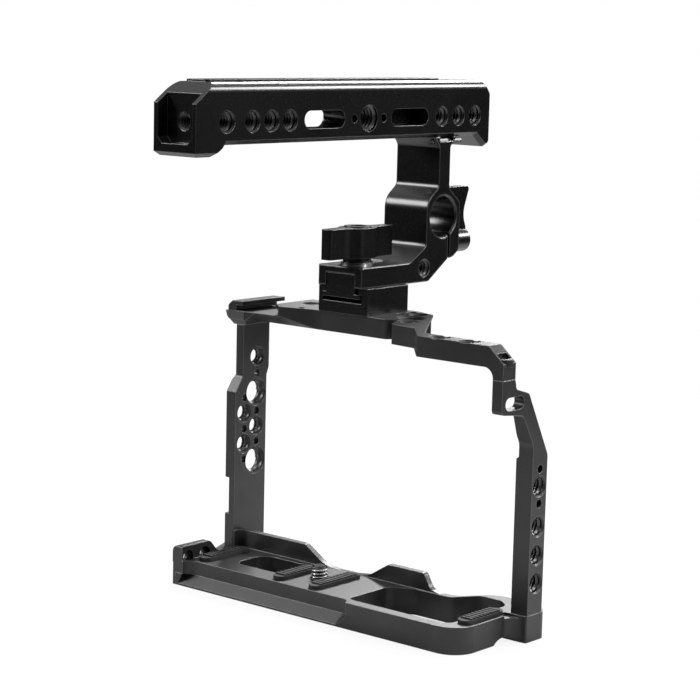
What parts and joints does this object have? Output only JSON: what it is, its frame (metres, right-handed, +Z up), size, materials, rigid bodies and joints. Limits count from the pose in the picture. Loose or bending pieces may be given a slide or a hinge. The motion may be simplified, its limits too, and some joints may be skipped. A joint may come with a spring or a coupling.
{
  "type": "camera cage with top handle",
  "caption": "Skeleton cage round a mirrorless camera with threaded accessory holes, a cold shoe, rubber pads, a captive camera screw and a sliding top handle with a rod clamp.",
  "frame": {"origin": "axis of the camera screw in the plane of the camera seat", "axes": "+X towards the grip side, +Y towards the lens side, +Z up along the camera screw"},
  "size_m": [0.1456, 0.1585, 0.1896],
  "materials": {
    "cage_black": "satin black anodised, fine bead-blasted",
    "handle_black": "black anodised, smoother, with bright edges",
    "screw_black": "black oxide",
    "steel_bright": "bare stainless, turned",
    "rubber_black": "matt, ribbed"
  },
  "bodies": {
    "cage": {"base_plate": "cage_black", "left_column": "cage_black", "top_plate": "cage_black", "grip_column": "cage_black", "grip_base_screws": "screw_black", "grip_corner_screw": "screw_black", "riser_block": "handle_black", "riser_screws": "screw_black", "pad_left": "rubber_black", "pad_mid_a": "rubber_black", "pad_mid_b": "rubber_black", "pad_right": "rubber_black"},
    "screw_carrier": {"camera_screw_clip": "steel_bright"},
    "screw": {"camera_screw": "steel_bright"},
    "handle": {"handle_bar": "handle_black", "handle_stem": "handle_black", "stem_screws": "screw_black", "clamp_washer": "steel_bright", "rod_lever_washer": "steel_bright", "hex_key": "screw_black"},
    "foot": {"t_foot": "handle_black"},
    "knob": {"clamp_knob": "handle_black", "clamp_screw": "steel_bright"},
    "lever": {"rod_lever": "handle_black", "rod_lever_screw": "steel_bright"}
  },
  "joints": [
    {"name": "handle_slide", "type": "slide", "parent": "cage", "child": "handle", "axis": [0, 1, 0], "range_m": [-0.016, 0]},
    {"name": "clamp_knob_turn", "type": "hinge", "parent": "handle", "child": "knob", "pos_m": [-0.0049, 0.0227, 0.1205], "axis": [0, 0, 1], "range_deg": [0, 180]},
    {"name": "t_foot_lift", "type": "slide", "parent": "handle", "child": "foot", "axis": [0, 0, 1], "range_m": [-0.0004, 0]},
    {"name": "rod_lever_turn", "type": "hinge", "parent": "handle", "child": "lever", "pos_m": [-0.0049, 0.0725, 0.118], "axis": [0, 1, 0], "range_deg": [0, 270]},
    {"name": "camera_screw_travel", "type": "slide", "parent": "cage", "child": "screw_carrier", "axis": [0, 0, 1], "range_m": [-0.00381, 0]},
    {"name": "camera_screw_turn", "type": "hinge", "parent": "screw_carrier", "child": "screw", "pos_m": [0, 0, 0], "axis": [0, 0, 1], "range_deg": [-1080, 0]}
  ],
  "couplings": [
    {"joint": "clamp_knob_turn", "follows": "t_foot_lift", "rad_per_m": -7854},
    {"joint": "camera_screw_turn", "follows": "camera_screw_travel", "rad_per_m": 4947.4}
  ]
}
